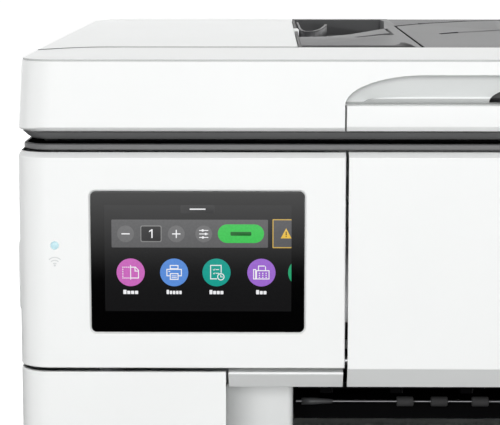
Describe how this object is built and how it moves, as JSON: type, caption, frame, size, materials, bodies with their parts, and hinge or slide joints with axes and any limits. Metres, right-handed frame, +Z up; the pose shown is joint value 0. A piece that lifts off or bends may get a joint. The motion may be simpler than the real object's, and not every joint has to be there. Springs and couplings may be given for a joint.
{
  "type": "wide-format inkjet all-in-one printer",
  "caption": "White wide-format inkjet all-in-one printer with document feeder lid, touch screen at the front left, drop-down front door and stacked paper trays.",
  "frame": {"origin": "under the middle of the printer, on the surface that its feet stand on", "axes": "+X to the printer's right as seen from the front, -Y out of its front face, +Z up"},
  "size_m": [0.5854, 0.466, 0.388],
  "materials": {
    "white_plastic": "fine satin moulded white",
    "pale_plastic": "satin pale grey white",
    "grey_plastic": "fine textured mid grey",
    "dark_plastic": "fine textured charcoal",
    "black_plastic": "satin black",
    "screen_glass": "polished black cover glass over the display",
    "bed_glass": "clear polished glass",
    "lamp": "lit light pipe",
    "foot_rubber": "dull rubber",
    "roller_rubber": "ground rubber",
    "sheet_steel": "galvanised sheet",
    "white_foam": "white film over foam",
    "circuit_board": "green solder mask",
    "ink_yellow": "satin yellow",
    "ink_magenta": "satin magenta",
    "ink_cyan": "satin cyan"
  },
  "bodies": {
    "body": {"base_pan": "dark_plastic", "foot_front_left": "foot_rubber", "foot_front_right": "foot_rubber", "foot_rear_left": "foot_rubber", "foot_rear_right": "foot_rubber", "left_cover": "white_plastic", "right_cover": "white_plastic", "rear_cover": "white_plastic", "power_inlet": "black_plastic", "front_left_panel": "white_plastic", "front_right_panel": "white_plastic", "bay_side_left": "pale_plastic", "bay_side_right": "pale_plastic", "control_housing": "white_plastic", "touch_glass": "screen_glass", "display_module": "dark_plastic", "status_light": "lamp", "panel_chin": "pale_plastic", "output_tray": "dark_plastic", "print_chassis": "sheet_steel", "carriage_rail": "sheet_steel", "platen": "black_plastic", "star_wheel_bar": "black_plastic", "carriage_motor": "sheet_steel", "service_station": "dark_plastic", "power_supply": "grey_plastic", "main_board": "circuit_board", "top_frame": "dark_plastic", "scanner_base": "dark_plastic", "scan_glass": "bed_glass", "scan_rail": "sheet_steel", "scanner_lip": "white_plastic"},
    "lid": {"lid_shell": "white_plastic", "lid_pad": "white_foam", "adf_tray": "grey_plastic"},
    "feeder_cover": {"adf_cover": "white_plastic"},
    "feeder_flap": {"adf_flap": "grey_plastic"},
    "feeder_guide_front": {"adf_guide_front": "dark_plastic"},
    "feeder_guide_rear": {"adf_guide_rear": "dark_plastic"},
    "pick_roller": {"adf_pick_roller": "roller_rubber"},
    "door": {"front_door": "white_plastic"},
    "button": {"power_button": "white_plastic"},
    "cassette_1": {"tray_1": "white_plastic"},
    "cassette_1_left": {"tray_1_guide_left": "dark_plastic"},
    "cassette_1_right": {"tray_1_guide_right": "dark_plastic"},
    "cassette_1_stop": {"tray_1_length_stop": "dark_plastic"},
    "cassette_2": {"tray_2": "white_plastic"},
    "cassette_2_left": {"tray_2_guide_left": "dark_plastic"},
    "cassette_2_right": {"tray_2_guide_right": "dark_plastic"},
    "cassette_2_stop": {"tray_2_length_stop": "dark_plastic"},
    "extension": {"tray_extension": "dark_plastic"},
    "carriage": {"print_carriage": "black_plastic", "ink_yellow": "ink_yellow", "ink_magenta": "ink_magenta", "ink_cyan": "ink_cyan", "ink_black": "black_plastic"},
    "scan_head": {"scan_bar": "black_plastic"},
    "feed": {"feed_roller": "roller_rubber"},
    "exit": {"exit_roller": "roller_rubber"},
    "turn_door": {"rear_door": "dark_plastic"}
  },
  "joints": [
    {"name": "lid_hinge", "type": "hinge", "parent": "body", "child": "lid", "pos_m": [0, 0.2145, 0.3685], "axis": [-1, 0, 0], "range_deg": [0, 75]},
    {"name": "feeder_cover_hinge", "type": "hinge", "parent": "lid", "child": "feeder_cover", "pos_m": [-0.2898, 0, 0.3736], "axis": [0, -1, 0], "range_deg": [0, 80]},
    {"name": "feeder_flap_hinge", "type": "hinge", "parent": "lid", "child": "feeder_flap", "pos_m": [0.2588, 0, 0.3878], "axis": [0, 1, 0], "range_deg": [0, 150]},
    {"name": "feeder_guide_front_slide", "type": "slide", "parent": "lid", "child": "feeder_guide_front", "axis": [0, 1, 0], "range_m": [0, 0.075]},
    {"name": "feeder_guide_rear_slide", "type": "slide", "parent": "lid", "child": "feeder_guide_rear", "axis": [0, -1, 0], "range_m": [0, 0.075]},
    {"name": "pick_roller_spin", "type": "hinge", "parent": "feeder_cover", "child": "pick_roller", "pos_m": [-0.17, 0.035, 0.3796], "axis": [0, 1, 0], "continuous": true},
    {"name": "front_door_hinge", "type": "hinge", "parent": "body", "child": "door", "pos_m": [0, -0.231, 0.2225], "axis": [1, 0, 0], "range_deg": [0, 90]},
    {"name": "power_button_press", "type": "slide", "parent": "body", "child": "button", "axis": [1, 0, 0], "range_m": [0, 0.0012], "stiffness_N_per_m": 500, "springref_m": -0.0006},
    {"name": "tray_1_slide", "type": "slide", "parent": "body", "child": "cassette_1", "axis": [0, -1, 0], "range_m": [0, 0.3]},
    {"name": "tray_1_guide_left_slide", "type": "slide", "parent": "cassette_1", "child": "cassette_1_left", "axis": [1, 0, 0], "range_m": [0, 0.098]},
    {"name": "tray_1_guide_right_slide", "type": "slide", "parent": "cassette_1", "child": "cassette_1_right", "axis": [-1, 0, 0], "range_m": [0, 0.098]},
    {"name": "tray_1_stop_slide", "type": "slide", "parent": "cassette_1", "child": "cassette_1_stop", "axis": [0, 1, 0], "range_m": [0, 0.2]},
    {"name": "tray_2_slide", "type": "slide", "parent": "body", "child": "cassette_2", "axis": [0, -1, 0], "range_m": [0, 0.3]},
    {"name": "tray_2_guide_left_slide", "type": "slide", "parent": "cassette_2", "child": "cassette_2_left", "axis": [1, 0, 0], "range_m": [0, 0.098]},
    {"name": "tray_2_guide_right_slide", "type": "slide", "parent": "cassette_2", "child": "cassette_2_right", "axis": [-1, 0, 0], "range_m": [0, 0.098]},
    {"name": "tray_2_stop_slide", "type": "slide", "parent": "cassette_2", "child": "cassette_2_stop", "axis": [0, 1, 0], "range_m": [0, 0.2]},
    {"name": "extension_slide", "type": "slide", "parent": "body", "child": "extension", "axis": [0, -1, 0], "range_m": [0, 0.165]},
    {"name": "carriage_slide", "type": "slide", "parent": "body", "child": "carriage", "axis": [-1, 0, 0], "range_m": [0, 0.345]},
    {"name": "scan_slide", "type": "slide", "parent": "body", "child": "scan_head", "axis": [1, 0, 0], "range_m": [0, 0.405]},
    {"name": "feed_spin", "type": "hinge", "parent": "body", "child": "feed", "pos_m": [0, -0.072, 0.198], "axis": [1, 0, 0], "continuous": true},
    {"name": "exit_spin", "type": "hinge", "parent": "body", "child": "exit", "pos_m": [0, -0.173, 0.198], "axis": [1, 0, 0], "continuous": true},
    {"name": "rear_door_hinge", "type": "hinge", "parent": "body", "child": "turn_door", "pos_m": [0, 0.23175, 0.1468], "axis": [-1, 0, 0], "range_deg": [0, 85]}
  ],
  "couplings": [
    {"joint": "feeder_guide_rear_slide", "follows": "feeder_guide_front_slide", "ratio": 1},
    {"joint": "tray_1_guide_right_slide", "follows": "tray_1_guide_left_slide", "ratio": 1},
    {"joint": "tray_2_guide_right_slide", "follows": "tray_2_guide_left_slide", "ratio": 1},
    {"joint": "exit_spin", "follows": "feed_spin", "ratio": 1.354}
  ]
}
